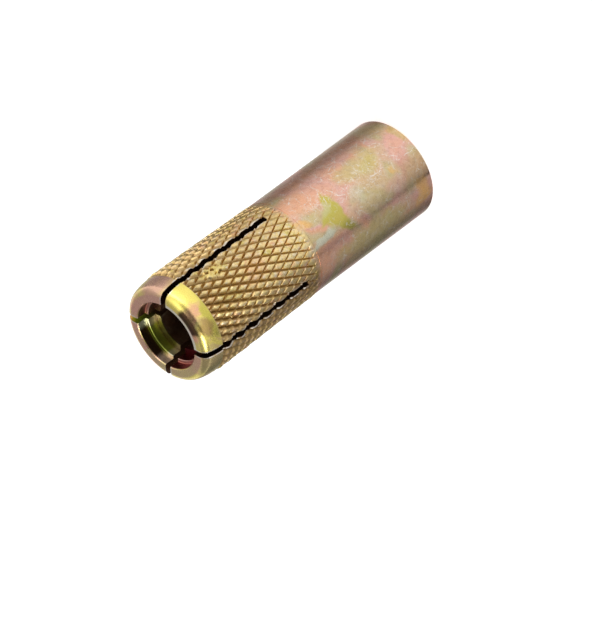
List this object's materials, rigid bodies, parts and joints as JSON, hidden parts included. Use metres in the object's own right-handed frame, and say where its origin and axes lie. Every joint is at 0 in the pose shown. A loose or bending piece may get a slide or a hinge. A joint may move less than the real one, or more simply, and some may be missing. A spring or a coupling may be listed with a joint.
{
  "type": "drop-in anchor",
  "caption": "Slotted, knurled steel sleeve with a threaded hole at one end and a captive cone plug that slides in its bore to spread the slotted end.",
  "frame": {"origin": "centre of the threaded end's face, which the anchor stands on", "axes": "+Z along the axis from the threaded end to the slotted mouth; the slots lie on the X and Y axes"},
  "size_m": [0.0168, 0.0168, 0.05],
  "materials": {
    "yellow_zinc": "iridescent yellow passivated zinc plating on steel",
    "plug_steel": "plain turned steel with a film of oil"
  },
  "bodies": {
    "sleeve": {"sleeve": "yellow_zinc"},
    "plug": {"expander_plug": "plug_steel"}
  },
  "joints": [
    {"name": "plug_slide", "type": "slide", "parent": "sleeve", "child": "plug", "axis": [0, 0, 1], "range_m": [0, 0.0089]}
  ]
}
